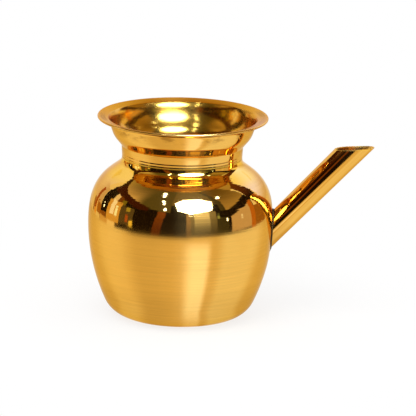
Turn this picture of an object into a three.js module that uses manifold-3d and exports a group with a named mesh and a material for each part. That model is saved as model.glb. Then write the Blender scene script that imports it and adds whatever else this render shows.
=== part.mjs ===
// A spouted lota: a spun sheet-brass water pot with a round belly, a short neck, a flared mouth with a flat
// lip, and a straight spout soldered to its side. Millimetres, +Z up. The origin is the centre of the flat
// base, and the spout points towards +X.
import * as THREE from 'three';
import { mergeVertices } from 'three/addons/utils/BufferGeometryUtils.js';
import Module from 'manifold-3d';

const degrees = Math.PI / 180;

// The sheet that the pot is spun from, and the clearance that the solder runs into.
const sheet = 1.0;
const solderGap = 0.3;

// The belly. Its outline is a flat base, a rounded edge, a long wall and a shoulder that curves up into
// the neck.
const bellyRadius = 58;
const bellyHeight = 60;
const lowerWallArc = 121;
const baseEdgeArc = 16.5;
const shoulderStartPull = 27.5;
const shoulderEndPull = 8.4;
const shoulderSlope = 46.3 * degrees;
const shoulderTopRadius = 39.3;
const shoulderTopHeight = 96.55;
const neckFootFillet = 5.85;

// The lap joint between the two halves of the belly. It lies above the spout's solder.
const seamAboveSpout = 3;
const lapLength = 5;
const joggleLength = 2;
const brazeLeg = 1.6;

// The neck, with the turned lines near its foot, and the spigot of the shoulder that stands inside it.
// A lean is measured from upright, outwards.
const neckLean = 3.7 * degrees;
const neckHeight = 6.86;
const neckLineWidth = 0.9;
const neckLineDepth = 0.15;
const firstNeckLine = 1.15;
const neckLineSpacing = 1.7;
const neckLineCount = 2;
const spigotHeight = 4.5;
const neckSolderLeg = 0.9;

// The flared mouth and its lip.
const neckFillet = 1.4;
const flareLean = 39.6 * degrees;
const flareCone = 4.9;
const flareArc = 14.5;
const wallLean = 21 * degrees;
const wallCurve = 36;
const wallTopLean = 13.5 * degrees;
const lipWall = 0.72;
const lipBend = 4;
const lipLean = 76 * degrees;
const lipWidth = 4.7;

// The spout, a slightly tapered tube whose tip is cut nearly level.
const spoutRootRadius = 8.0;
const spoutTipRadius = 8.5;
const spoutWall = 0.8;
const spoutAngle = 46.75 * degrees;
const spoutRootHeight = 55.9;
const spoutLength = 72.1;
const spoutStub = 1.5;
const tipCutRise = 2.8 * degrees;
const tipCutLean = 4.5 * degrees;
const spoutSolderWidth = 1.3;
const spoutSolderHeight = 1.0;

// How finely the round shapes are divided.
const turnSteps = 60;
const spoutSteps = 32;

const wasm = await Module();
wasm.setup();

// An outline in the plane of the pot's axis, drawn stretch by stretch.
class Outline extends THREE.CurvePath {
  constructor(radius, height) {
    super();
    this.end = new THREE.Vector2(radius, height);
  }

  addStretch(curve) {
    this.add(curve);
    this.end = curve.getPoint(1);
  }

  addLine(lean, length) {
    const run = new THREE.Vector2(Math.sin(lean), Math.cos(lean)).multiplyScalar(length);
    this.addStretch(new THREE.LineCurve(this.end, run.add(this.end)));
  }

  addBend(lean, newLean, radius) {
    const side = Math.sign(newLean - lean);
    const across = new THREE.Vector2(Math.cos(lean), -Math.sin(lean)).multiplyScalar(side * radius);
    const centre = across.add(this.end);
    const first = side > 0 ? Math.PI - lean : -lean;
    const last = side > 0 ? Math.PI - newLean : -newLean;
    this.addStretch(new THREE.EllipseCurve(centre.x, centre.y, radius, radius, first, last, side > 0));
  }
}

// The outline of the belly's outer face, from the base's centre up to the neck's foot.
function makeBodyOutline() {
  const betweenCentres = lowerWallArc - baseEdgeArc;
  const meetingLean = Math.asin((bellyHeight - baseEdgeArc) / betweenCentres);
  const baseRadius = bellyRadius - lowerWallArc + betweenCentres * Math.cos(meetingLean);
  const outline = new Outline(0, 0);
  outline.addStretch(new THREE.LineCurve(outline.end, new THREE.Vector2(baseRadius, 0)));
  outline.addBend(Math.PI / 2, meetingLean, baseEdgeArc);
  outline.addBend(meetingLean, 0, lowerWallArc);
  const slope = new THREE.Vector2(Math.sin(shoulderSlope), -Math.cos(shoulderSlope));
  const shoulderTop = new THREE.Vector2(shoulderTopRadius, shoulderTopHeight);
  outline.addStretch(new THREE.CubicBezierCurve(
    outline.end,
    new THREE.Vector2(0, shoulderStartPull).add(outline.end),
    slope.multiplyScalar(shoulderEndPull).add(shoulderTop),
    shoulderTop,
  ));
  outline.addBend(-shoulderSlope, neckLean, neckFootFillet);
  return outline;
}

// The outline of the mouth's outer face, from the neck's foot up to the lip's edge.
function makeMouthOutline(foot) {
  const outline = new Outline(foot.x, foot.y);
  outline.addLine(neckLean, neckHeight);
  outline.addBend(neckLean, flareLean, neckFillet);
  outline.addLine(flareLean, flareCone);
  outline.addBend(flareLean, wallLean, flareArc);
  outline.addBend(wallLean, wallTopLean, wallCurve);
  outline.addLine(wallTopLean, lipWall);
  outline.addBend(wallTopLean, lipLean, lipBend);
  outline.addLine(lipLean, lipWidth);
  return outline;
}

const bodyOutline = makeBodyOutline();
const mouthOutline = makeMouthOutline(bodyOutline.end);

// A point at a distance along an outline, set a depth below the outer face.
function outlinePoint(outline, distance, depth) {
  const share = THREE.MathUtils.clamp(distance / outline.getLength(), 0, 1);
  const point = outline.getPoint(share);
  const tangent = outline.getTangent(share);
  return new THREE.Vector2(point.x - tangent.y * depth, point.y + tangent.x * depth);
}

// Points along an outline between two distances, set a depth below the outer face.
function outlineStretch(outline, from, to, steps, depth) {
  const points = [];
  for (let step = 0; step <= steps; step += 1) {
    points.push(outlinePoint(outline, from + ((to - from) * step) / steps, depth));
  }
  return points;
}

// The distance along the body's outline at which its outer face reaches a height.
function bodyDistanceAt(height) {
  let low = 0;
  let high = bodyOutline.getLength();
  for (let step = 0; step < 50; step += 1) {
    const middle = (low + high) / 2;
    if (outlinePoint(bodyOutline, middle, 0).y < height) {
      low = middle;
    } else {
      high = middle;
    }
  }
  return (low + high) / 2;
}

// A solid turned about the pot's axis from a profile that runs up outside and down inside.
function turned(profile, steps = turnSteps) {
  const startsOnAxis = profile[0].x === 0 && profile[profile.length - 1].x === 0;
  const closed = startsOnAxis ? profile : [...profile, profile[0]];
  return new THREE.LatheGeometry(closed, steps).rotateX(Math.PI / 2);
}

function toSolid(geometry) {
  const bare = geometry.clone();
  bare.deleteAttribute('normal');
  bare.deleteAttribute('uv');
  const merged = mergeVertices(bare);
  return new wasm.Manifold(new wasm.Mesh({
    numProp: 3,
    vertProperties: new Float32Array(merged.attributes.position.array),
    triVerts: new Uint32Array(merged.index.array),
  }));
}

function toGeometry(solid) {
  const mesh = solid.getMesh();
  const geometry = new THREE.BufferGeometry();
  geometry.setAttribute('position', new THREE.BufferAttribute(mesh.vertProperties, 3));
  geometry.setIndex(new THREE.BufferAttribute(mesh.triVerts, 1));
  geometry.computeVertexNormals();
  return geometry;
}

// Where the body's outline changes from one curve to the next.
const [baseEnd, baseEdgeEnd, widestLine, shoulderEnd, neckFoot] = bodyOutline.getCurveLengths();

// The spout's line: its root is the point of the belly's outer face that its axis passes through.
const spoutRoot = new THREE.Vector3(
  outlinePoint(bodyOutline, bodyDistanceAt(spoutRootHeight), 0).x,
  0,
  spoutRootHeight,
);
const spoutDirection = new THREE.Vector3(Math.cos(spoutAngle), 0, Math.sin(spoutAngle));
const spoutReach = 3 * spoutRootRadius;

// The spout's radius at a distance from its root, along its axis.
function spoutRadiusAt(distance) {
  return spoutRootRadius + ((spoutTipRadius - spoutRootRadius) * distance) / spoutLength;
}

// Sets a shape that was turned about +Z onto the spout's line.
function ontoSpout(geometry) {
  const toSpout = new THREE.Quaternion().setFromUnitVectors(new THREE.Vector3(0, 0, 1), spoutDirection);
  return geometry.applyQuaternion(toSpout).translate(spoutRoot.x, spoutRoot.y, spoutRoot.z);
}

// A solid round bar along the spout's line, larger or smaller than the tube's outside by a margin.
function spoutBar(from, to, margin) {
  return toSolid(ontoSpout(turned([
    new THREE.Vector2(0, from),
    new THREE.Vector2(spoutRadiusAt(from) + margin, from),
    new THREE.Vector2(spoutRadiusAt(to) + margin, to),
    new THREE.Vector2(0, to),
  ], spoutSteps)));
}

// The belly as a full solid, larger or smaller than its outer face by a margin.
function bodyBlock(margin) {
  const steps = 24;
  const face = outlineStretch(bodyOutline, baseEnd, shoulderEnd, steps, -margin);
  return toSolid(turned([
    new THREE.Vector2(0, face[0].y),
    ...face,
    new THREE.Vector2(0, face[steps].y),
  ]));
}

// The seam clears the spout's root and its solder.
const spoutRootHalfHeight = (spoutRootRadius + spoutSolderWidth) / Math.cos(spoutAngle);
const seam = bodyDistanceAt(spoutRootHeight + spoutRootHalfHeight + seamAboveSpout);
const lapTop = seam + lapLength;
const lapDepth = sheet + solderGap;

// The lower half of the belly, with its floor. Its upper edge is joggled inwards to enter the shoulder.
function makeBaseBowl() {
  const wall = (depth, top) => [
    outlinePoint(bodyOutline, 0, depth),
    ...outlineStretch(bodyOutline, baseEnd, baseEdgeEnd, 5, depth),
    ...outlineStretch(bodyOutline, baseEdgeEnd, widestLine, 6, depth).slice(1),
    ...outlineStretch(bodyOutline, widestLine, top, 2, depth).slice(1),
  ];
  const bowl = toSolid(turned([
    ...wall(0, seam),
    ...outlineStretch(bodyOutline, seam, lapTop, 1, lapDepth),
    ...outlineStretch(bodyOutline, lapTop, seam, 1, lapDepth + sheet),
    ...wall(sheet, seam - joggleLength).reverse(),
  ]));
  return toGeometry(bowl.subtract(spoutBar(-spoutReach, spoutReach, solderGap)));
}

// The upper half of the belly. Its top is stepped in as a spigot that stands inside the neck.
function makeShoulderShell() {
  const bottom = seam + solderGap;
  const wall = (depth, top) => [
    ...outlineStretch(bodyOutline, bottom, shoulderEnd, 9, depth),
    ...outlineStretch(bodyOutline, shoulderEnd, top, 3, depth).slice(1),
  ];
  return turned([
    ...wall(0, neckFoot),
    ...outlineStretch(mouthOutline, 0, spigotHeight, 1, lapDepth),
    ...outlineStretch(mouthOutline, spigotHeight, 0, 1, lapDepth + sheet),
    ...wall(sheet, neckFoot - joggleLength).reverse(),
  ]);
}

// The neck, flare and lip, spun in one piece, with lines turned in the neck. Its foot stands on the
// shoulder's step.
function makeMouthCollar() {
  const [neckTop, filletTop, coneTop, flareTop, curveTop, wallTop, bendTop, lipEdge] =
    mouthOutline.getCurveLengths();
  const lines = [];
  for (let line = 0; line < neckLineCount; line += 1) {
    const middle = firstNeckLine + line * neckLineSpacing;
    lines.push(outlinePoint(mouthOutline, middle - neckLineWidth / 2, 0));
    lines.push(outlinePoint(mouthOutline, middle, neckLineDepth));
    lines.push(outlinePoint(mouthOutline, middle + neckLineWidth / 2, 0));
  }
  const flare = (depth) => [
    ...outlineStretch(mouthOutline, neckTop, filletTop, 3, depth),
    ...outlineStretch(mouthOutline, coneTop, flareTop, 3, depth),
    ...outlineStretch(mouthOutline, flareTop, curveTop, 2, depth).slice(1),
    ...outlineStretch(mouthOutline, wallTop, bendTop, 4, depth),
    outlinePoint(mouthOutline, lipEdge, depth),
  ];
  const edgeMiddle = outlinePoint(mouthOutline, lipEdge, sheet / 2);
  const edgeRound = new THREE.Vector2(Math.sin(lipLean), Math.cos(lipLean)).multiplyScalar(sheet / 2);
  return turned([
    outlinePoint(mouthOutline, solderGap, 0),
    ...lines,
    ...flare(0),
    edgeMiddle.add(edgeRound),
    ...flare(sheet).reverse(),
    outlinePoint(mouthOutline, solderGap, sheet),
  ]);
}

// The straight spout. Its root stands a little way through the belly's wall.
function makeSpoutTube() {
  const beyondTip = spoutLength + 3 * spoutTipRadius;
  const outside = spoutBar(-spoutReach, beyondTip, 0);
  const bore = spoutBar(-2 * spoutReach, 2 * beyondTip, -spoutWall);
  const cutter = new THREE.BoxGeometry(4 * beyondTip, 4 * beyondTip, 2 * beyondTip);
  cutter.translate(0, 0, beyondTip).rotateX(-tipCutLean).rotateY(-tipCutRise);
  const tip = spoutDirection.clone().multiplyScalar(spoutLength).add(spoutRoot);
  const aboveTip = toSolid(cutter.translate(tip.x, tip.y, tip.z));
  const inside = bodyBlock(-sheet - spoutStub);
  return toGeometry(outside.subtract(bore).subtract(inside).subtract(aboveTip));
}

// The solder that runs round the spout's root, on the belly's outer face.
function makeSpoutSolder() {
  const ring = spoutBar(-spoutReach, spoutReach, solderGap + spoutSolderWidth);
  const layer = bodyBlock(solderGap + spoutSolderHeight).subtract(bodyBlock(solderGap));
  return toGeometry(layer.intersect(ring).subtract(spoutBar(-spoutReach, spoutReach, solderGap)));
}

// Braze or solder that froze inside the pot, in the corner above a lap's edge.
function makeLapFillet(outline, lapEnd, leg) {
  const foot = lapEnd + solderGap;
  return turned([
    outlinePoint(outline, foot, lapDepth),
    outlinePoint(outline, foot + leg, lapDepth),
    outlinePoint(outline, foot, lapDepth + leg),
  ]);
}

// The finishes.
const polishedBrass = { color: 0xdda544, roughness: 0.16, metalness: 1 };
const spoutBrass = { color: 0xd89c3c, roughness: 0.22, metalness: 1 };
const yellowBraze = { color: 0xb98d3d, roughness: 0.5, metalness: 1 };
const greySolder = { color: 0x6f5f47, roughness: 0.55, metalness: 0.8 };

const lota = new THREE.Group();
const pieces = [
  ['base_bowl', makeBaseBowl(), polishedBrass],
  ['shoulder_shell', makeShoulderShell(), polishedBrass],
  ['mouth_collar', makeMouthCollar(), polishedBrass],
  ['spout_tube', makeSpoutTube(), spoutBrass],
  ['belly_braze', makeLapFillet(bodyOutline, lapTop, brazeLeg), yellowBraze],
  ['neck_solder', makeLapFillet(mouthOutline, spigotHeight, neckSolderLeg), greySolder],
  ['spout_solder', makeSpoutSolder(), greySolder],
];
for (const [name, geometry, finish] of pieces) {
  const mesh = new THREE.Mesh(geometry, new THREE.MeshStandardMaterial(finish));
  mesh.name = name;
  lota.add(mesh);
}

export default lota;
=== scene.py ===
import math
import bmesh
import bpy
from mathutils import Matrix, Vector, noise
from mathutils.bvhtree import BVHTree
from mathutils.geometry import interpolate_bezier


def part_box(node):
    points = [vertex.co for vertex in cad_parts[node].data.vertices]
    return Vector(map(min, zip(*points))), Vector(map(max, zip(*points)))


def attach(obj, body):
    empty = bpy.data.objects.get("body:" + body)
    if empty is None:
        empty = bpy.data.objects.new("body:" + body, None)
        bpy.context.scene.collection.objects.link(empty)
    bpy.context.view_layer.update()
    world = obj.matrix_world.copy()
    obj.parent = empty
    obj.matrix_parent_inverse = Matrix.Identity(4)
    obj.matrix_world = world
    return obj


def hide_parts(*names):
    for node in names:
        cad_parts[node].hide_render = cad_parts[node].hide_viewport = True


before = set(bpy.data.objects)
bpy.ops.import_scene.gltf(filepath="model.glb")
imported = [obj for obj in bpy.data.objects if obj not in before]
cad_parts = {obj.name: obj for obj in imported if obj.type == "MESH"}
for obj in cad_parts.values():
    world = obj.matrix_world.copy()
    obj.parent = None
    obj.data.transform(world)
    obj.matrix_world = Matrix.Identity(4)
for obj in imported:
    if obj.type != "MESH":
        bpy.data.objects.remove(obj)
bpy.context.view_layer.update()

# The base bowl: the lower half of the pot's belly, with its flat floor.
# It is spun from sheet brass on a lathe and polished there, which leaves fine lines round it.
# Its upper edge is joggled inwards, so that it enters the shoulder and the two faces lie flush.
mm = 0.001
sheet = 1.0 * mm
solder_gap = 0.3 * mm
belly_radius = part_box("base_bowl")[1].y
belly_height = 60 * mm
wall_arc = 121 * mm
base_edge_arc = 16.5 * mm
seam_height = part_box("shoulder_shell")[0].z
neck_lean = math.radians(3.7)
shoulder_top = Vector((39.3 * mm, 0, 96.55 * mm))
shoulder_slope = math.radians(46.3)
shoulder_start_pull = 27.5 * mm
shoulder_end_pull = 8.4 * mm
neck_foot_fillet = 5.85 * mm
lap_depth = sheet + solder_gap
lap_length = 5 * mm
lap_taper = 1.2 * mm
turn_steps = 192
hairline = 0.05 * mm
weld = 0.001 * mm
crease = math.radians(30)
spout_angle = math.radians(46.75)
spout_direction = Vector((math.cos(spout_angle), 0, math.sin(spout_angle)))
spout_root = Vector((57.93 * mm, 0, 55.9 * mm))
spout_root_radius = 8.0 * mm
root_flat = 0.6 * mm
root_flat_reach = 26 * mm


class Outline:
    """A piece's outer face, drawn in the plane of the pot's axis and then turned about it."""

    def __init__(self, radius, height):
        self.bm = bmesh.new()
        self.start = bmesh.ops.create_vert(self.bm, co=(radius, 0, height))["vert"][0]
        self.tip = self.start

    def line_to(self, radius, height):
        self.tip = bmesh.ops.extrude_vert_indiv(self.bm, verts=[self.tip])["verts"][0]
        self.tip.co = (radius, 0, height)

    def line(self, lean, length):
        """A straight stretch that leans outwards from upright."""
        end = self.tip.co + Vector((math.sin(lean), 0, math.cos(lean))) * length
        self.line_to(end.x, end.z)

    def arc(self, radius, height, angle, steps):
        """An arc about a centre, anticlockwise where the angle is positive."""
        centre = (radius, 0, height)
        axis = (0, -1, 0)
        arc = bmesh.ops.spin(self.bm, geom=[self.tip], cent=centre, axis=axis, angle=angle, steps=steps)
        self.tip = arc["geom_last"][0]

    def bend(self, lean, new_lean, radius, steps):
        """An arc from one lean to another."""
        side = math.copysign(radius, new_lean - lean)
        centre = self.tip.co + Vector((math.cos(lean), 0, -math.sin(lean))) * side
        self.arc(centre.x, centre.z, lean - new_lean, steps)

    def curve(self, first_pull, second_pull, end, steps):
        """A curve to a point, drawn out by a pull at each end."""
        points = interpolate_bezier(self.tip.co, first_pull, second_pull, end, steps + 1)
        for point in points[1:]:
            self.line_to(point.x, point.z)

    def close(self):
        bmesh.ops.contextual_create(self.bm, geom=[self.tip, self.start])

    def turned(self):
        everything = self.bm.verts[:] + self.bm.edges[:]
        full_turn = {"cent": (0, 0, 0), "axis": (0, 0, 1), "angle": math.tau, "steps": turn_steps}
        bmesh.ops.spin(self.bm, geom=everything, use_merge=True, **full_turn)
        bmesh.ops.remove_doubles(self.bm, verts=self.bm.verts[:], dist=weld)
        return self.bm


def belly_face():
    """The outer face of the whole belly, from the base's centre up to the neck's foot. It is hammered a
    little flat round the spout's root."""
    between_centres = wall_arc - base_edge_arc
    wall_turn = math.asin((belly_height - base_edge_arc) / between_centres)
    wall_centre = belly_radius - wall_arc
    base_radius = wall_centre + between_centres * math.cos(wall_turn)
    outline = Outline(0, 0)
    outline.line_to(base_radius - sheet, 0)
    outline.line_to(base_radius, 0)
    outline.arc(base_radius, base_edge_arc, math.pi / 2 - wall_turn, 24)
    outline.arc(wall_centre, belly_height, wall_turn, 40)
    slope = Vector((math.sin(shoulder_slope), 0, -math.cos(shoulder_slope)))
    start_pull = outline.tip.co + Vector((0, 0, shoulder_start_pull))
    outline.curve(start_pull, shoulder_top + slope * shoulder_end_pull, shoulder_top, 56)
    outline.bend(-shoulder_slope, neck_lean, neck_foot_fillet, 20)
    face = outline.turned()
    for vert in face.verts:
        share = max(0, 1 - ((vert.co - spout_root).length / root_flat_reach) ** 2)
        vert.co.x -= root_flat * share ** 2
    return face


def cut_level(bm, height, keep):
    """Cuts a turned face at a height and keeps the part below it or above it."""
    for level in (height - hairline, height + hairline):
        geometry = bm.verts[:] + bm.edges[:] + bm.faces[:]
        bmesh.ops.bisect_plane(bm, geom=geometry, dist=0, plane_co=(0, 0, level), plane_no=(0, 0, 1))
    geometry = bm.verts[:] + bm.edges[:] + bm.faces[:]
    side = {"clear_outer": keep == "below", "clear_inner": keep == "above"}
    bmesh.ops.bisect_plane(bm, geom=geometry, dist=0, plane_co=(0, 0, height), plane_no=(0, 0, 1), **side)


def carry_rim(bm, rim, inwards, upwards):
    """Draws a wall on from its rim, towards the pot's axis and up. Returns the new rim."""
    made = bmesh.ops.extrude_edge_only(bm, edges=rim)["geom"]
    verts = [part for part in made if isinstance(part, bmesh.types.BMVert)]
    radius = verts[0].co.xy.length
    share = (radius - inwards) / radius
    bmesh.ops.scale(bm, vec=(share, share, 1), verts=verts)
    bmesh.ops.translate(bm, vec=(0, 0, upwards), verts=verts)
    ring = set(verts)
    return [edge for edge in bm.edges if edge.is_boundary and ring.issuperset(edge.verts)]


def upper_rim(bm):
    """The highest open rim of a turned face."""
    rims = [edge for edge in bm.edges if edge.is_boundary]
    top = max(edge.verts[0].co.z for edge in rims)
    return [edge for edge in rims if edge.verts[0].co.z > top - hairline]


def give_wall(bm, wall):
    """Turns an outer face outwards and gives it a wall behind it."""
    bmesh.ops.recalc_face_normals(bm, faces=bm.faces[:])
    widest = max(bm.faces, key=lambda face: face.calc_center_median().xy.length)
    if widest.normal.xy.dot(widest.calc_center_median().xy) < 0:
        bmesh.ops.reverse_faces(bm, faces=bm.faces[:])
    bmesh.ops.solidify(bm, geom=bm.faces[:], thickness=wall)


def crease_corners(bm):
    """Shades the faces smooth and keeps the real corners sharp."""
    bm.normal_update()
    for face in bm.faces:
        face.smooth = True
    for edge in bm.edges:
        edge.smooth = edge.calc_face_angle(math.pi) < crease


def add_piece(name, bm, material):
    crease_corners(bm)
    mesh = bpy.data.meshes.new(name)
    bm.to_mesh(mesh)
    bm.free()
    mesh.materials.append(material)
    piece = bpy.data.objects.new(name, mesh)
    bpy.context.scene.collection.objects.link(piece)
    return piece


class Shade:
    """A socket of a material's nodes. Sums on it add Math nodes."""

    def __init__(self, tree, socket=None):
        self.tree = tree
        self.socket = socket

    def node(self, kind, settings=None, sockets=None, out=0):
        """Adds a node, sets its settings, then sets or links its sockets, and gives one of its outputs."""
        made = self.tree.nodes.new(kind)
        for name, value in (settings or {}).items():
            setattr(made, name, value)
        for name, value in (sockets or {}).items():
            if isinstance(value, Shade):
                self.tree.links.new(value.socket, made.inputs[name])
            else:
                made.inputs[name].default_value = value
        return Shade(self.tree, made.outputs[out])

    def math(self, operation, *others):
        return self.node("ShaderNodeMath", {"operation": operation}, dict(enumerate((self, *others))))

    def __add__(self, other):
        return self.math("ADD", other)

    def __sub__(self, other):
        return self.math("SUBTRACT", other)

    def __rsub__(self, other):
        return self.math("MULTIPLY_ADD", -1.0, other)

    def __mul__(self, other):
        return self.math("MULTIPLY", other)

    __radd__ = __add__
    __rmul__ = __mul__

    def between(self, low, high, start=0.0, end=1.0):
        """Rises smoothly from start to end as this goes from low to high."""
        limits = {"From Min": low, "From Max": high, "To Min": start, "To Max": end}
        smooth = {"interpolation_type": "SMOOTHSTEP"}
        return self.node("ShaderNodeMapRange", smooth, {"Value": self, **limits})

    def part(self, axis):
        return self.node("ShaderNodeSeparateXYZ", None, {"Vector": self}, axis)

    def stretched(self, x, y, z):
        sides = {0: self, 1: (x, y, z)}
        return self.node("ShaderNodeVectorMath", {"operation": "MULTIPLY"}, sides)

    def noise(self, scale, detail=2.0, roughness=0.5):
        grain = {"Vector": self, "Scale": scale, "Detail": detail, "Roughness": roughness}
        return self.node("ShaderNodeTexNoise", None, grain)

    def blend(self, first, second):
        """Mixes two colours by this share."""
        sides = [side if isinstance(side, Shade) else (*side, 1) for side in (first, second)]
        return self.node("ShaderNodeMix", {"data_type": "RGBA"}, {0: self, 6: sides[0], 7: sides[1]}, 2)


def new_material(name):
    """An empty material, and the piece's own coordinates in its nodes."""
    material = bpy.data.materials.new(name)
    material.use_nodes = True
    material.node_tree.nodes.clear()
    here = Shade(material.node_tree).node("ShaderNodeTexCoord", None, None, "Object")
    return material, here


def show(material, shader):
    output = material.node_tree.nodes.new("ShaderNodeOutputMaterial")
    material.node_tree.links.new(shader.socket, output.inputs["Surface"])


brass_colour = (0.87, 0.475, 0.09)
brass_line_dark = tuple(0.88 * part for part in brass_colour)
brass_line_light = tuple(1.10 * part for part in brass_colour)
brass_stain = (0.80, 0.36, 0.04)
brass_tarnish_and_shade = (0.30, 0.12, 0.014)
brass_inside_shade = (0.78, 0.35, 0.022)
brass_edge = (0.84, 0.70, 0.47, 1)
neck_foot_painted_gold = (0.97, 0.55, 0.07)
mirror_roughness = 0.03
satin_roughness = 0.42
line_depth = 0.0003 * mm
deep_line_depth = 0.0012 * mm

lined_belly = (68 * mm, 40 * mm)
worn_top = (71.5 * mm, 65.5 * mm)
worn_foot = (50 * mm, 58 * mm)
lip_edge_radius = (52.0 * mm, 52.4 * mm)
lip_edge_height = (125.0 * mm, 125.6 * mm)
foot_low = (88 * mm, 93 * mm)
foot_high = (102.4 * mm, 101.0 * mm)
wheel_waves = (9, 560)
turning_lines = (22, 2600)
scratch_marks = (900, 900, 160)
cloud_marks = 38.0


def turned_brass(name, lean, satin, wave_height, tarnish_and_shade_at):
    """Brass polished on the lathe. Lines run round the axis, lean is how their places follow the radius,
    satin is how much of them the wheel left, wave_height is how uneven the wheel left the face, and the last
    gives the dull places, which on the collar hold painted shade too. The belly's lower half, the neck's
    foot, the lip's edge and the inside keep more of the lines, and the belly is worn where it is widest. The
    neck's foot is painted a brighter gold, a painted reflection, and the inside a darker, browner brass, a
    painted shade."""
    material, here = new_material(name)
    x, y, z = here.part("X"), here.part("Y"), here.part("Z")
    radius = (x * x + y * y).math("SQRT")
    along = z + radius * lean

    def marks(round_axis, along_axis):
        """Places for marks that run round the axis, by how close they lie each way."""
        places = {"X": x * round_axis, "Y": y * round_axis, "Z": along * along_axis}
        return here.node("ShaderNodeCombineXYZ", None, places)

    waves = marks(*wheel_waves).noise(1.0, 1.5, 0.5)
    lines = marks(*turning_lines).noise(1.0, 3.0, 0.6)
    clouds = here.noise(cloud_marks, 3.0, 0.55)
    scratches = here.stretched(*scratch_marks).noise(1.0, 2.0, 0.5).between(0.70, 0.76)
    tarnish_and_shade = tarnish_and_shade_at(here, x, y, z, clouds)
    lined = z.between(*lined_belly)
    worn = z.between(*worn_top) * z.between(*worn_foot)
    filed = radius.between(*lip_edge_radius) * z.between(*lip_edge_height)
    foot_lines_and_painted_gold = z.between(*foot_low) * z.between(*foot_high)
    normal = here.node("ShaderNodeNewGeometry", None, None, "Normal")
    sides = {0: normal, 1: here.stretched(1, 1, 0)}
    outwards = here.node("ShaderNodeVectorMath", {"operation": "DOT_PRODUCT"}, sides, "Value")
    inside = outwards.between(0.002, -0.006)
    line_share = 0.5 + (lines.between(0.32, 0.68) - 0.5) * (0.25 + lined * 0.3)
    clean = line_share.blend(brass_line_dark, brass_line_light)
    stain_and_painted_gold = (clouds.between(0.5, 0.75) * 0.15).blend(clean, brass_stain)
    # The neck's foot is painted a brighter gold, a painted reflection of the neck in the shoulder; its deeper
    # lines are real.
    stain_and_painted_gold = foot_lines_and_painted_gold.blend(stain_and_painted_gold, neck_foot_painted_gold)
    # Inside faces are painted a darker, browner brass, a painted shade of the hollow; over that go the dull
    # places, which on the collar hold painted shade.
    colour = tarnish_and_shade.blend((inside * 0.8).blend(stain_and_painted_gold, brass_inside_shade), brass_tarnish_and_shade)
    rough = mirror_roughness + clouds * 0.025 + lines * 0.02 + lined * 0.03 + inside * 0.12
    rough += worn * 0.055 + filed * 0.2 + tarnish_and_shade * 0.2 + scratches * 0.06
    height = waves * (1 - lined * 0.7) * wave_height
    height += lines * (line_depth + (lined + foot_lines_and_painted_gold) * deep_line_depth)
    bump = here.node("ShaderNodeBump", None, {"Strength": 1.0, "Distance": 1.0, "Height": height})
    shared = {"Base Color": colour, "Metallic": 1.0, "Specular Tint": brass_edge, "Normal": bump}
    upright = {"Anisotropic": 0.4, "Anisotropic Rotation": 0.25}
    mirror = here.node("ShaderNodeBsdfPrincipled", None, {**shared, **upright, "Roughness": rough})
    spread = {"Roughness": satin_roughness, "Anisotropic": 1.0, "Anisotropic Rotation": 0.25}
    brushed = here.node("ShaderNodeBsdfPrincipled", None, {**shared, **spread})
    share = (satin + lined * 0.08 + inside * 0.05) * (0.55 + lines * 0.9)
    show(material, here.node("ShaderNodeMixShader", None, {0: share, 1: mirror, 2: brushed}))
    return material


flame_reach = (17 * mm, 11.5 * mm)
flame_ragged = 6 * mm
joint_dullness = 0.35


def spout_root_tarnish(here, x, y, z, clouds):
    """Dull where the flame reached, round the spout's root."""
    root = {0: here, 1: tuple(spout_root)}
    away = here.node("ShaderNodeVectorMath", {"operation": "DISTANCE"}, root, "Value")
    return (away + clouds * flame_ragged).between(*flame_reach) * joint_dullness


bowl = belly_face()
cut_level(bowl, seam_height, "below")
joggle = carry_rim(bowl, upper_rim(bowl), lap_depth, 0)
carry_rim(bowl, joggle, lap_taper, lap_length)
give_wall(bowl, sheet)
bowl_finish = {"lean": -0.4, "satin": 0.028, "wave_height": 0.02 * mm}
bowl_brass = turned_brass("belly_brass", tarnish_and_shade_at=spout_root_tarnish, **bowl_finish)
base_bowl = add_piece("belly_bowl", bowl, bowl_brass)

drill_length = 40 * mm
drill = bmesh.new()
spout_turn = Vector((0, 0, 1)).rotation_difference(spout_direction).to_matrix().to_4x4()
onto_spout = Matrix.Translation(spout_root) @ spout_turn
hole_radius = spout_root_radius + solder_gap
drill_size = {"radius1": hole_radius, "radius2": hole_radius, "depth": drill_length}
bmesh.ops.create_cone(drill, cap_ends=True, segments=96, matrix=onto_spout, **drill_size)
drill_bit = add_piece("spout_hole_drill", drill, bowl_brass)
hole = base_bowl.modifiers.new("spout_hole", "BOOLEAN")
hole.object = drill_bit
hole.solver = "EXACT"
drilled = bpy.data.meshes.new_from_object(base_bowl.evaluated_get(bpy.context.evaluated_depsgraph_get()))
base_bowl.modifiers.clear()
base_bowl.data = drilled
bpy.data.objects.remove(drill_bit)
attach(base_bowl, "root")
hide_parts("base_bowl")

# The shoulder: the upper half of the belly, spun from the same sheet and brazed over the bowl's lap.
# Its top curves up into the neck's foot and is then stepped in, as a short spigot inside the mouth collar.
# The wheel leaves it brighter than the bowl, with fewer lines.
spigot_height = 4.5 * mm
neck_dull = (101.2 * mm, 102.4 * mm)
neck_dull_ragged = 2 * mm


def neck_foot_tarnish(here, x, y, z, clouds):
    """A little dull at the joint under the neck."""
    return (z + clouds * neck_dull_ragged).between(*neck_dull) * joint_dullness


shoulder = belly_face()
cut_level(shoulder, seam_height, "above")
neck_foot = max(vert.co.z for vert in shoulder.verts)
spigot = carry_rim(shoulder, upper_rim(shoulder), lap_depth, 0)
carry_rim(shoulder, spigot, 0, spigot_height)
give_wall(shoulder, sheet)
shoulder_finish = {"lean": -0.4, "satin": 0.022, "wave_height": 0.065 * mm}
shoulder_brass = turned_brass("shoulder_brass", tarnish_and_shade_at=neck_foot_tarnish, **shoulder_finish)
shoulder_shell = add_piece("belly_shoulder", shoulder, shoulder_brass)
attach(shoulder_shell, "root")
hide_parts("shoulder_shell")

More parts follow.
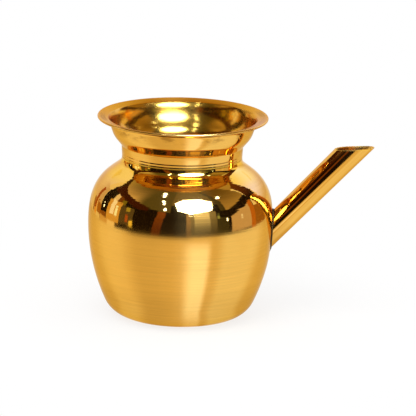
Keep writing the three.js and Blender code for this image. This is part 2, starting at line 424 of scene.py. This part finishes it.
# The braze that joins the two halves of the belly, a rough fillet of yellow spelter.
# It ran into the lap from inside and froze in the corner above the bowl's edge.
braze_low, braze_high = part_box("belly_braze")
braze_leg = 1.6 * mm
braze_lean = 0.35 * mm
run_lumps = 0.12 * mm
run_pits = 0.03 * mm


def run_metal(name, colour, dull_colour, grain):
    """Solder or braze as it froze: dull, uneven and a little pitted."""
    material, here = new_material(name)
    lumps = here.noise(grain, 4.0, 0.6)
    pits = here.noise(4 * grain, 2.0, 0.5)
    surface = {
        "Base Color": lumps.between(0.35, 0.65).blend(dull_colour, colour),
        "Roughness": 0.4 + pits * 0.3,
        "Metallic": 1.0,
    }
    relief = {"Strength": 1.0, "Distance": 1.0, "Height": lumps * run_lumps + pits * run_pits}
    surface["Normal"] = here.node("ShaderNodeBump", None, relief)
    show(material, here.node("ShaderNodeBsdfPrincipled", None, surface))
    return material


def closed_ring(outline):
    """Turns an open section about the axis and closes its last side."""
    ring = outline.turned()
    bmesh.ops.bridge_loops(ring, edges=[edge for edge in ring.edges if edge.is_boundary])
    bmesh.ops.recalc_face_normals(ring, faces=ring.faces[:])
    return ring


braze = Outline(braze_high.y, braze_low.z)
braze.line_to(braze_high.y - braze_lean, braze_low.z + braze_leg)
braze.line_to(braze_high.y - braze_leg, braze_low.z)
spelter = run_metal("yellow_spelter", (0.62, 0.37, 0.10), (0.33, 0.17, 0.05), grain=900)
belly_braze = add_piece("seam_braze", closed_ring(braze), spelter)
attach(belly_braze, "root")
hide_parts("belly_braze")

# The mouth collar: neck, flare and flat lip, spun in one piece from the same sheet.
# Its foot stands on the shoulder's step, over the spigot. Two turned lines mark the neck, and thumbs have
# left smudges on the flare under the lip, in a band that is partly painted shade. The lip's underside is
# painted darker, a painted shade.
joint_line = 0.12 * mm
neck_radius = 37.5 * mm
neck_top = 108.0 * mm
neck_line_width = 0.9 * mm
neck_line_depth = 0.12 * mm
neck_lines = (102.3 * mm, 104.0 * mm)
neck_line_section = ((-0.5, 0), (-0.25, 0.6), (0, 1), (0.25, 0.6), (0.5, 0))
neck_fillet = 1.4 * mm
flare_lean = math.radians(39.6)
flare_cone = 4.9 * mm
flare_arc = 14.5 * mm
wall_lean = math.radians(21)
wall_curve = 36.0 * mm
wall_top_lean = math.radians(13.5)
lip_wall = 0.72 * mm
lip_bend = 4.0 * mm
lip_lean = math.radians(76)
lip_width = 4.31 * mm
lip_bead = 0.8 * mm
lip_top_width = 5.59 * mm
lip_corner = 0.8 * mm
throat_lip_lean = math.radians(38)
throat_lip = 9.16 * mm
throat_top_lean = math.radians(14.2)
throat_wall = 0.68 * mm
throat_curve = 37.1 * mm
throat_wall_lean = math.radians(17.5)
throat_flare = 19.0 * mm
throat_lean = math.radians(42.1)
throat_cone = 0.55 * mm
throat_neck = 10.5 * mm
smudge_and_shade_foot = (116.5 * mm, 121.5 * mm)
smudge_and_shade_top = (125.8 * mm, 125.0 * mm)
lip_underside_shade_height = (123.5 * mm, 125.0 * mm)
held_inner = (47.6 * mm, 48.8 * mm)
held_outer = (51.8 * mm, 51.0 * mm)
held_width = (24 * mm, 10 * mm)


def neck_face(height):
    """The neck's radius at a height."""
    return neck_radius + (height - neck_foot) * math.tan(neck_lean)


def mouth_tarnish_and_shade(here, x, y, z, clouds):
    """Smudged under the lip, in a band that is partly painted shade, painted shade where the lip's corner
    faces downwards, and smudged on its top at both sides, where it is held."""
    smudge = here.stretched(1, 1, 2.2).noise(75.0, 4.0, 0.6).between(0.46, 0.64)
    # A band of smudges just under the lip, partly painted shade.
    under_lip_smudge_and_shade = smudge * z.between(*smudge_and_shade_foot) * z.between(*smudge_and_shade_top) * 0.6
    facing = here.node("ShaderNodeNewGeometry", None, None, "Normal").part("Z")
    # Painted shade: the lip's faces that look downwards, in its corner, are painted dark.
    lip_underside_shade = facing.between(-0.3, -0.7) * z.between(*lip_underside_shade_height) * 0.8
    radius = (x * x + y * y).math("SQRT")
    held = radius.between(*held_inner) * radius.between(*held_outer)
    held *= y.math("ABSOLUTE").between(*held_width)
    top = held * facing.between(0.5, 0.8) * clouds.between(0.3, 0.6) * 0.45
    return under_lip_smudge_and_shade.math("MAXIMUM", lip_underside_shade) + top


collar = Outline(neck_radius, neck_foot + joint_line)
for middle in neck_lines:
    for side, share in neck_line_section:
        height = middle + side * neck_line_width
        collar.line_to(neck_face(height) - share * neck_line_depth, height)
collar.line_to(neck_face(neck_top), neck_top)
collar.bend(neck_lean, flare_lean, neck_fillet, 12)
collar.line(flare_lean, flare_cone)
collar.bend(flare_lean, wall_lean, flare_arc, 20)
collar.bend(wall_lean, wall_top_lean, wall_curve, 16)
collar.line(wall_top_lean, lip_wall)
collar.bend(wall_top_lean, lip_lean, lip_bend, 20)
bead_rise = sheet - lip_bead
bead_reach = math.sqrt(lip_bead ** 2 - bead_rise ** 2)
down = math.pi
collar.line(lip_lean, lip_width - bead_reach)
collar.bend(lip_lean + math.acos(bead_rise / lip_bead), lip_lean - down, lip_bead, 24)
collar.line(lip_lean - down, lip_top_width)
collar.bend(lip_lean - down, throat_lip_lean - down, lip_corner, 8)
collar.bend(throat_lip_lean - down, throat_top_lean - down, throat_lip, 20)
collar.line(throat_top_lean - down, throat_wall)
collar.bend(throat_top_lean - down, throat_wall_lean - down, throat_curve, 12)
collar.bend(throat_wall_lean - down, throat_lean - down, throat_flare, 24)
collar.line(throat_lean - down, throat_cone)
collar.bend(throat_lean - down, neck_lean - down, throat_neck, 20)
collar.line_to(neck_radius - sheet, neck_foot + joint_line)
collar.close()
collar_bm = collar.turned()
bmesh.ops.recalc_face_normals(collar_bm, faces=collar_bm.faces[:])
collar_finish = {"lean": 0.6, "satin": 0.055, "wave_height": 0.02 * mm}
collar_brass = turned_brass("mouth_brass", tarnish_and_shade_at=mouth_tarnish_and_shade, **collar_finish)
mouth_collar = add_piece("flared_mouth", collar_bm, collar_brass)
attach(mouth_collar, "root")
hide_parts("mouth_collar")

# The neck solder: soft solder that ran up the lap between the spigot and the collar from inside.
# It froze as a thin grey fillet on the spigot's edge, against the collar's inner wall.
neck_solder_leg = 0.9 * mm
neck_solder_hollow = 0.3 * neck_solder_leg
spigot_top = neck_foot + spigot_height
neck_wall = neck_face(spigot_top) - sheet
neck_line = Outline(neck_wall, spigot_top)
neck_line.line_to(neck_wall, spigot_top + neck_solder_leg)
neck_line.line_to(neck_wall - neck_solder_hollow, spigot_top + neck_solder_hollow)
neck_line.line_to(neck_wall - neck_solder_leg, spigot_top)
grey_solder = run_metal("grey_solder", (0.105, 0.056, 0.012), (0.035, 0.018, 0.004), grain=1500)
neck_solder = add_piece("neck_solder_line", closed_ring(neck_line), grey_solder)
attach(neck_solder, "root")
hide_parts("neck_solder")

# The spout: a straight brass tube, a little wider at its tip, let through the belly's wall.
# It is drawn tube, polished along its length, and its tip is sawn nearly level by hand.
spout_tip_radius = 8.5 * mm
spout_length = 72.1 * mm
spout_taper = (spout_tip_radius - spout_root_radius) / spout_length
spout_wall = 0.8 * mm
tip_cut_rise = math.radians(2.8)
tip_cut_lean = math.radians(4.5)
saw_roughness = 0.35 * mm
saw_marks, fine_saw_marks = 900, 2300
root_trim = 0.4 * mm
spout_inner_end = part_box("spout_tube")[0].x + root_trim
spout_back = 24 * mm
spout_beyond = 24 * mm
tube_line_dark, tube_line_light = (0.79, 0.41, 0.065), (0.87, 0.46, 0.08)
tube_heat, tube_filed = (0.60, 0.29, 0.05), (0.90, 0.50, 0.07)
drawing_lines = (900, 900, 22)
drawing_line_depth = 0.0006 * mm
heat_reach, heat_ragged = (24 * mm, 6 * mm), 16 * mm
rubbed_tip, rubbed_ragged = (60 * mm, 70 * mm), 14 * mm
bore_depth = (-0.35 * mm, -0.45 * mm)
filed_edge = (-0.9 * mm, -0.5 * mm)
spout_tip = spout_root + spout_direction * spout_length
tip_cut = Matrix.Rotation(-tip_cut_rise, 3, "Y") @ Matrix.Rotation(-tip_cut_lean, 3, "X") @ Vector((0, 0, 1))


def drawn_brass(name):
    """Brass tube, drawn and polished along the spout's line, with heat stains near its root. Its tip is
    rubbed by hands, and its bore isn't polished."""
    material, here = new_material(name)
    mapping = {"vector_type": "TEXTURE"}
    place = {"Vector": here, "Location": tuple(spout_root), "Rotation": tuple(spout_turn.to_euler())}
    tube = here.node("ShaderNodeMapping", mapping, place)
    x, y, z = tube.part("X"), tube.part("Y"), tube.part("Z")
    lines = tube.stretched(*drawing_lines).noise(1.0, 4.0, 0.65)
    clouds = tube.noise(45.0, 3.0, 0.55)
    heat = (z + clouds * heat_ragged).between(*heat_reach) * 0.5
    rubbed = (z + clouds * rubbed_ragged).between(*rubbed_tip)
    wall_place = (x * x + y * y).math("SQRT") - z * spout_taper
    bore = (wall_place - spout_root_radius).between(*bore_depth)
    clean = lines.between(0.3, 0.7).blend(tube_line_dark, tube_line_light)
    sides = {0: here, 1: tuple(tip_cut)}
    to_cut = here.node("ShaderNodeVectorMath", {"operation": "DOT_PRODUCT"}, sides, "Value")
    filed = (to_cut - spout_tip.dot(tip_cut)).between(*filed_edge)
    colour = filed.blend(heat.blend(clean, tube_heat), tube_filed)
    rough = 0.05 + lines * 0.045 + heat * 0.05 + filed * 0.18 + rubbed * 0.05 + bore * 0.12
    relief = {"Strength": 1.0, "Distance": 1.0, "Height": lines * drawing_line_depth}
    surface = {
        "Base Color": colour,
        "Metallic": 1.0,
        "Specular Tint": brass_edge,
        "Roughness": rough,
        "Normal": here.node("ShaderNodeBump", None, relief),
    }
    show(material, here.node("ShaderNodeBsdfPrincipled", None, surface))
    return material


def spout_radius(distance):
    return spout_root_radius + spout_taper * distance


tube = bmesh.new()
tube_length = spout_back + spout_length + spout_beyond
tube_size = {
    "radius1": spout_radius(-spout_back),
    "radius2": spout_radius(spout_length + spout_beyond),
    "depth": tube_length,
}
to_middle = Matrix.Translation((0, 0, tube_length / 2 - spout_back))
bmesh.ops.create_cone(tube, cap_ends=False, segments=128, matrix=onto_spout @ to_middle, **tube_size)
cuts = (
    (spout_tip, tip_cut),
    (Vector((spout_inner_end, 0, 0)), Vector((-1, 0, 0))),
)
for point, away in cuts:
    geometry = tube.verts[:] + tube.edges[:] + tube.faces[:]
    bmesh.ops.bisect_plane(tube, geom=geometry, dist=0, plane_co=point, plane_no=away, clear_outer=True)
for vert in tube.verts:
    if (vert.co - spout_tip).dot(spout_direction) > -2 * spout_tip_radius:
        bite = abs(noise.noise(vert.co * saw_marks)) + 0.5 * abs(noise.noise(vert.co * fine_saw_marks))
        vert.co -= spout_direction * bite * saw_roughness
give_wall(tube, spout_wall)
spout_tube = add_piece("pouring_spout", tube, drawn_brass("spout_brass"))
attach(spout_tube, "root")
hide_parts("spout_tube")

# The spout solder: a narrow fillet of soft solder that runs round the spout's root, on the belly's face.
# It holds the tube in its hole, and flux and soot have left it nearly black.
spout_solder_width = 0.9 * mm
spout_solder_height = 1.2 * mm
spout_solder_gap = 0.15 * mm
spout_solder_sink = 0.2 * mm
hollow_width = 0.3 * spout_solder_width
hollow_height = 0.4 * spout_solder_height
belly_tree = BVHTree.FromObject(base_bowl, bpy.context.evaluated_depsgraph_get())


def ring_on_belly(bm, beyond_tube, above_belly):
    """A ring round the spout, each of its points let down along the spout onto the belly."""
    far_out = Matrix.Translation((0, 0, 3 * spout_root_radius))
    radius = spout_root_radius + beyond_tube
    made = bmesh.ops.create_circle(bm, segments=128, radius=radius, matrix=onto_spout @ far_out)
    for vert in made["verts"]:
        landed = belly_tree.ray_cast(vert.co, -spout_direction)[0]
        vert.co = landed + spout_direction * above_belly
    return {edge for vert in made["verts"] for edge in vert.link_edges}


fillet = bmesh.new()
landing = solder_gap + spout_solder_gap
rings = [
    ring_on_belly(fillet, landing, -spout_solder_sink),
    ring_on_belly(fillet, landing, spout_solder_height),
    ring_on_belly(fillet, landing + hollow_width, hollow_height),
    ring_on_belly(fillet, landing + spout_solder_width, 0),
]
for first, second in zip(rings, rings[1:] + rings[:1]):
    bmesh.ops.bridge_loops(fillet, edges=list(first | second))
bmesh.ops.recalc_face_normals(fillet, faces=fillet.faces[:])
spout_solder = add_piece("spout_solder_line", fillet, grey_solder)
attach(spout_solder, "root")
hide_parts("spout_solder")

# The floor: a plain white round table, with a flat white sweep behind the pot, both painted matt.
# Near the pot it is lit and takes the shadow, and further away it is plain white.
table_radius = 0.43
sweep_near, sweep_far = 0.42, 5.0
sweep_side = math.radians(146)
sweep_drop = 0.5 * mm
shadow_pool = (0.07, 0.24)
shadow_whiteness = 0.8
table_paint = (0.9, 0.9, 0.9, 1)


def where_seen(here):
    """One where the camera sees a thing, straight, in a mirror or through something, and nought elsewhere."""
    ray = here.node("ShaderNodeLightPath", None, None, "Is Camera Ray")
    other_rays = ("Is Glossy Ray", "Is Transmission Ray")
    mirrored, through = (Shade(ray.tree, ray.socket.node.outputs[name]) for name in other_rays)
    return (ray + mirrored + through).math("MINIMUM", 1.0)


floor = bmesh.new()
bmesh.ops.create_circle(floor, cap_ends=True, segments=128, radius=table_radius)
sweep = []
for distance, side in ((sweep_near, -1), (sweep_near, 1), (sweep_far, 1), (sweep_far, -1)):
    angle = side * sweep_side
    place = (distance * math.sin(angle), -distance * math.cos(angle), -sweep_drop)
    sweep += bmesh.ops.create_vert(floor, co=place)["vert"]
bmesh.ops.contextual_create(floor, geom=sweep)
floor_white, here = new_material("white_table")
away = here.node("ShaderNodeVectorMath", {"operation": "LENGTH"}, {0: here}, "Value")
lit = here.node("ShaderNodeBsdfDiffuse", None, {"Color": table_paint})
white = here.node("ShaderNodeEmission", None, {"Color": (1, 1, 1, 1), "Strength": 1.0})
plain = where_seen(here) * away.between(*shadow_pool, shadow_whiteness, 1.0)
show(floor_white, here.node("ShaderNodeMixShader", None, {0: plain, 1: lit, 2: white}))
table = add_piece("table", floor, floor_white)

# The studio that the brass mirrors: an eight-sided softbox in front, a row of small lamps beside it, dark
# flags round the front that give the brass its deep band, and a dim ceiling. Coloured paper cards stand at
# the sides, and pale, cool ones behind. Only the brass sees them, so they light nothing else.
studio_distance = 4.0
card_distance = 4.6
layer_gap = 0.2
studio_middle = Vector((0, 0, 70 * mm))
lamp_colour = (1.0, 1.4, 3.0)
lamp_strength = 12.0


def glowing(name, colour, strength):
    material, here = new_material(name)
    show(material, here.node("ShaderNodeEmission", None, {"Color": (*colour, 1), "Strength": strength}))
    return material


def fading(name, colour, top_colour, low, high, side_colour=None, side=None):
    """Glows in one colour up to a height, and fades into another at a second height. Some fade into a third
    colour as well, from one azimuth to another."""
    material, here = new_material(name)
    fade = here.part("Z").between(low, high).blend(colour, top_colour)
    if side:
        around = here.part("X").math("ARCTAN2", here.part("Y") * -1.0)
        fade = around.between(math.radians(side[0]), math.radians(side[1])).blend(fade, side_colour)
    show(material, here.node("ShaderNodeEmission", None, {"Color": fade, "Strength": 1.0}))
    return material


def only_mirrored(card):
    """A studio piece that only the brass sees."""
    card.visible_camera = False
    card.visible_diffuse = False
    card.visible_shadow = False


def towards(azimuth, elevation):
    """The direction from the pot at two angles in degrees, from the camera's side and from level."""
    azimuth, elevation = math.radians(azimuth), math.radians(elevation)
    level = math.cos(elevation)
    return Vector((math.sin(azimuth) * level, -math.cos(azimuth) * level, math.sin(elevation)))


def studio_card(name, azimuth, foot, top, colour, layer=0, lean=0, top_colour=None, **sideways):
    """A curved card round the pot. foot and top are the elevations of its edges at its two ends, layer is how
    many gaps it hangs in front of the others, and lean is how far its top stands to one side."""
    bm = bmesh.new()
    bmesh.ops.create_grid(bm, x_segments=24, y_segments=10, size=0.5)
    reach = card_distance - layer_gap * layer
    for vert in bm.verts:
        along, up = vert.co.x + 0.5, vert.co.y + 0.5
        low = foot[0] + (foot[1] - foot[0]) * along
        high = top[0] + (top[1] - top[0]) * along
        around = azimuth[0] + (azimuth[1] - azimuth[0]) * along + lean * up
        vert.co = studio_middle + towards(around, low + (high - low) * up) * reach
    heights = [studio_middle.z + reach * math.sin(math.radians(edge)) for edge in (min(foot), max(top))]
    if top_colour:
        material = fading(name, colour, top_colour, *heights, **sideways)
    else:
        material = glowing(name, colour, 1.0)
    only_mirrored(add_piece(name, bm, material))


def lamp_place(azimuth, elevation):
    """Where a lamp stands that faces the pot."""
    aim = towards(azimuth, elevation)
    facing = aim.to_track_quat("Z", "Y").to_matrix().to_4x4()
    return Matrix.Translation(studio_middle + aim * studio_distance) @ facing


def studio_lamp(name, azimuth, elevation, size, strength, sides=24):
    """A flat lamp that faces the pot, seen only in its mirror."""
    bm = bmesh.new()
    bmesh.ops.create_circle(bm, cap_ends=True, segments=sides, radius=1.0)
    bmesh.ops.rotate(bm, matrix=Matrix.Rotation(math.pi / sides, 3, "Z"), verts=bm.verts[:])
    bmesh.ops.scale(bm, vec=(*size, 1), verts=bm.verts[:])
    bmesh.ops.transform(bm, matrix=lamp_place(azimuth, elevation), verts=bm.verts[:])
    only_mirrored(add_piece(name, bm, glowing(name, lamp_colour, strength)))


dark_brown = (0.011, 0.006, 0.003)
deep_red = (0.04, 0.02, 0.007)
brown_gold = (0.56, 0.34, 0.01)
studio_card("front_flag", (-120, 107), (-14, -14), (48, 48), dark_brown)
studio_card("high_flag_left", (-120, -45), (33, 20), (50, 30), (0.05, 0.012, 0.002), 0.5)
left_pale, left_olive = (1.05, 0.87, 0.66), (0.11, 0.105, 0.052)
left_over = {"top_colour": (0.12, 0.101, 0.048), "side_colour": left_olive, "side": (-80, -54)}
studio_card("overhead_left", (-128, -14), (49, 22), (80, 80), left_pale, 1, **left_over)
studio_card("overhead_front", (-14, 54), (40, 40), (80, 80), (0.18, 0.156, 0.09), 1)
studio_card("overhead_near_right", (54, 62), (22, 22), (80, 80), (0.07, 0.064, 0.028), 1)
studio_card("overhead_right", (62, 106), (22, 34), (80, 80), (0.46, 0.357, 0.186), 1, 0, (0.12, 0.082, 0.014))
studio_card("overhead_far_right", (106, 125), (49, 49), (80, 80), (0.45, 0.348, 0.179), 1)
studio_card("flag_right", (105, 123), (19, 19), (50, 50), dark_brown, 2, 7, (0.13, 0.042, 0.01))
studio_card("flag_left", (-132, -117), (46, 37), (52, 52), deep_red, 1)
studio_card("overhead_back", (125, 232), (46, 46), (80, 80), brown_gold)
studio_card("back_card", (145, 215), (23, 23), (47, 47), (1, 1, 1), 1, 0, (0.36, 0.18, 0.0))
studio_card("overhead_top", (-180, 180), (79, 79), (89, 89), (0.32, 0.266, 0.152))
studio_card("cream_left", (-106, -83), (-6, -6), (17, 21), (0.8, 0.55, 0.193), 1)
studio_card("cream_left_peak", (-102, -94), (14, 14), (31, 28), (0.95, 0.916, 1.035), 1)
studio_card("left_strip", (-100, -93), (0, 1), (20, 19), (1.12, 1.282, 2.07), 2)
studio_card("left_side_strip", (-91, -87), (0, 0), (13, 11), (1.15, 1.557, 2.346), 2)
studio_card("orange_left", (-120, -107), (-9, -9), (-4, -2), (0.3, 0.128, 0.021), 1)
studio_card("olive_left", (-83, -62), (-5, -5), (20, 18), (0.11, 0.092, 0.055), 1)
studio_card("olive_left_high", (-86, -79), (20, 20), (27, 27), (0.22, 0.21, 0.03), 1)
studio_card("brown_left", (-96, -86), (20, 20), (30, 29), (0.18, 0.07, 0.012), 0.7)
studio_card("green_left", (-74, -68), (12, 13), (20, 19), (0.43, 0.421, 0.097), 2)
studio_card("red_left", (-73, -69), (-2, -2), (7, 6), (0.47, 0.137, 0.041), 2)
studio_card("yellow_left", (-67, -62), (-5, -5), (1, 2), (1.05, 0.916, 0.241), 2)
studio_card("brown_front", (-38, -27), (-14, -14), (26, 28), (0.1, 0.027, 0.007), 1, 9, (0.24, 0.082, 0.014))
studio_card("red_front", (7, 13), (-14, -14), (22, 22), (0.11, 0.07, 0.05), 1, 0, (0.42, 0.33, 0.28))
studio_card("dusk_front", (12, 46), (-14, -14), (24, 24), (0.05, 0.045, 0.03), 1, 0, (0.3, 0.3, 0.27))
studio_card("softbox_glow", (17, 37), (-6, -6), (24, 24), (0.12, 0.12, 0.11), 2, 0, (1.0, 1.1, 1.3))
studio_card("dusk_right", (46, 62), (-14, -14), (12, 12), (0.05, 0.05, 0.03), 1)
studio_card("green_right", (47, 50.5), (9, 9), (17, 17), (0.33, 0.46, 0.30), 2)
studio_card("pale_right", (66, 99), (-8, -8), (11, 19), (0.66, 0.55, 0.538), 1)
studio_card("pale_right_spot", (81, 84), (3, 3), (9, 9), (1.0, 1.08, 1.6), 2)
studio_card("red_right", (98, 106), (-14, -14), (21, 21), (0.57, 0.211, 0.028), 2)
studio_card("brown_right", (105.5, 128), (-9, -9), (10, 6), (0.36, 0.17, 0.03), 1)
right_cool, right_pale = (1.15, 1.42, 4.6), (1.0, 0.95, 0.88)
right_side = {"top_colour": right_cool, "side_colour": right_pale, "side": (156, 178)}
studio_card("cool_right", (126, 180), (0, 0), (24, 24), (0.86, 0.80, 0.92), 0.5, **right_side)
high_side = {"top_colour": (1.05, 1.08, 1.2), "side_colour": right_pale, "side": (149, 168)}
studio_card("cool_right_high", (126, 168), (24, 24), (47, 47), right_cool, 1.5, **high_side)
left_cool, left_dusk = (0.94, 0.90, 1.3), (0.74, 0.62, 0.64)
left_side = {"top_colour": (1.04, 1.12, 1.9), "side_colour": left_dusk, "side": (-147, -122)}
studio_card("cool_left", (-180, -121), (0, 0), (24, 24), left_cool, 0.5, **left_side)
studio_card("cool_left_high", (-168, -130), (24, 24), (47, 47), (1.0, 1.06, 1.6), 0.5)
studio_card("brown_back_left", (-142, -137), (-9, -9), (0, 0), (0.46, 0.28, 0.15), 1)
studio_card("orange_back_left", (-136, -131), (-9, -9), (3, 3), (0.95, 0.56, 0.15), 1)
studio_card("amber_back_left", (-129.5, -119), (-7, -7), (2, 1), (0.45, 0.21, 0.03), 1)
studio_card("pale_left_foot", (-119, -103), (-14, -14), (-6, -6), (0.80, 0.60, 0.34), 2)
studio_card("cream_left_foot", (-103, -89), (-14, -14), (-6, -6), (1.05, 1.0, 0.9), 2)
studio_card("red_back_left", (-138, -133), (-6, -6), (17, 17), (0.42, 0.13, 0.03), 1, 6)
studio_lamp("key_softbox", 20, 40.2, (1.64, 1.42), lamp_strength, 8)
row_lamps = ((-22, 31.5), (-26, 42), (-29, 48.5), (-38, 63.5), (-44, 69))
for number, (azimuth, elevation) in enumerate(row_lamps):
    studio_lamp(f"row_lamp_{number + 1}", azimuth, elevation, (0.11, 0.14), lamp_strength)
studio_lamp("side_lamp", 68, 51.5, (0.17, 0.10), 7.0)
studio_lamp("small_lamp", 60, 6.5, (0.07, 0.09), 5.0)
studio_lamp("left_lamp", -113, 3.2, (0.08, 0.12), 3.0)

# The table's own glow, as the belly mirrors it: a thin ring on the table, round the pot's foot.
# It is painted light: a streak that paints the softbox's highlight on the belly, brighter at both sides,
# warm elsewhere with painted light bounced from the brass, and dimmer close to the foot, a painted shadow.
# Only the brass sees it.
glow_inner_radius = 36.5 * mm
glow_lift = 0.3 * mm
turn_fall = 55 * mm
warm_bounce_light, left_table = (1, 0.88, 0.60), (1, 0.96, 0.80)
right_table, bright_table = (1, 1.04, 1.10), (1, 1.10, 1.55)
table_glow = bmesh.new()
for radius in (glow_inner_radius, table_radius):
    bmesh.ops.create_circle(table_glow, segments=96, radius=radius)
bmesh.ops.bridge_loops(table_glow, edges=table_glow.edges[:])
bmesh.ops.translate(table_glow, vec=(0, 0, glow_lift), verts=table_glow.verts[:])
glow, here = new_material("table_glow")
x, y = here.part("X"), here.part("Y")
away = here.node("ShaderNodeVectorMath", {"operation": "LENGTH"}, {0: here}, "Value")
# across is the place on the belly, in degrees from its front, that mirrors a place on the table.
turn_share = (2.0 - turn_fall * away.math("POWER", -1.0)).math("MAXIMUM", 1.0)
across = x.math("ARCTAN2", y * -1.0).math("DIVIDE", turn_share).math("DEGREES")
# Painted highlight: the softbox's upright streak on the belly, painted onto the ring where the belly mirrors
# it.
painted_streak = across.between(-1, 9) * across.between(21, 16)
painted_streak *= away.between(0.042, 0.060, 0.5, 1.0) * away.between(0.34, 0.20)
halo = across.between(-20, 2) * across.between(34, 14)
left_light = across.between(-26, -44) * across.between(-70, -56, 0.4, 1.0)
right_light = across.between(21, 31) * across.between(66, 52, 0.3, 1.0)
far_edge = across.between(-38, -30) * across.between(9, 3) * away.between(0.29, 0.42)
tone = 0.76 + painted_streak * 0.36 + halo * 0.08 + (left_light + right_light) * 0.22
tone *= away.between(0.058, 0.085, 0.93, 1.06) * away.between(0.43, 0.26, 0.92, 1.0) * (1 - far_edge * 0.5)
tint = left_light.blend(warm_bounce_light, left_table)
tint = right_light.blend(tint, right_table)
tint = painted_streak.blend(tint, bright_table)
toned = here.node("ShaderNodeVectorMath", {"operation": "SCALE"}, {0: tint, "Scale": tone})
show(glow, here.node("ShaderNodeEmission", None, {"Color": toned, "Strength": 1.0}))
only_mirrored(add_piece("table_glow", table_glow, glow))

# The key light: a wide round lamp, high up on the left, in front of the pot.
# It lights the table and gives the pot its soft shadow. The brass doesn't mirror it.
key_width = 3.0
key_power = 70.0
key_azimuth, key_elevation = -25, 62
key = bpy.data.lights.new("key", "AREA")
key.shape = "DISK"
key.size = key_width
key.energy = key_power
key_light = bpy.data.objects.new("key", key)
bpy.context.scene.collection.objects.link(key_light)
key_light.matrix_world = lamp_place(key_azimuth, key_elevation)
key_light.visible_glossy = False

# The white room round the studio, which fills the shadow.
# It lights a little less than it shows, so that the background is plain white.
ambient = 0.85
world = bpy.data.worlds.new("white_studio")
bpy.context.scene.world = world
world.use_nodes = True
world.node_tree.nodes.clear()
room = Shade(world.node_tree)
light = ambient + where_seen(room) * (1 - ambient)
sky = room.node("ShaderNodeBackground", None, {"Color": (1, 1, 1, 1), "Strength": light})
world_output = world.node_tree.nodes.new("ShaderNodeOutputWorld")
world.node_tree.links.new(sky.socket, world_output.inputs["Surface"])

# The camera: two metres away and half a metre up, with a long lens.
# It looks a little down on the pot, with the spout to the right, and is turned by a hair.
photo_width = 416
camera_place = (0, -2.0, 0.5782)
focal_pixels = 3300.0
camera_yaw = 0.00843
camera_pitch = 0.24983
camera_roll = 0.0239
camera = bpy.data.objects.new("camera", bpy.data.cameras.new("camera"))
bpy.context.scene.collection.objects.link(camera)
camera.data.sensor_width = 36.0
camera.data.lens = focal_pixels / photo_width * camera.data.sensor_width
turn = Matrix.Rotation(-camera_yaw, 4, "Z") @ Matrix.Rotation(math.pi / 2 - camera_pitch, 4, "X")
camera.matrix_world = Matrix.Translation(camera_place) @ turn @ Matrix.Rotation(camera_roll, 4, "Z")
bpy.context.scene.camera = camera
bpy.context.scene.view_settings.view_transform = "Standard"
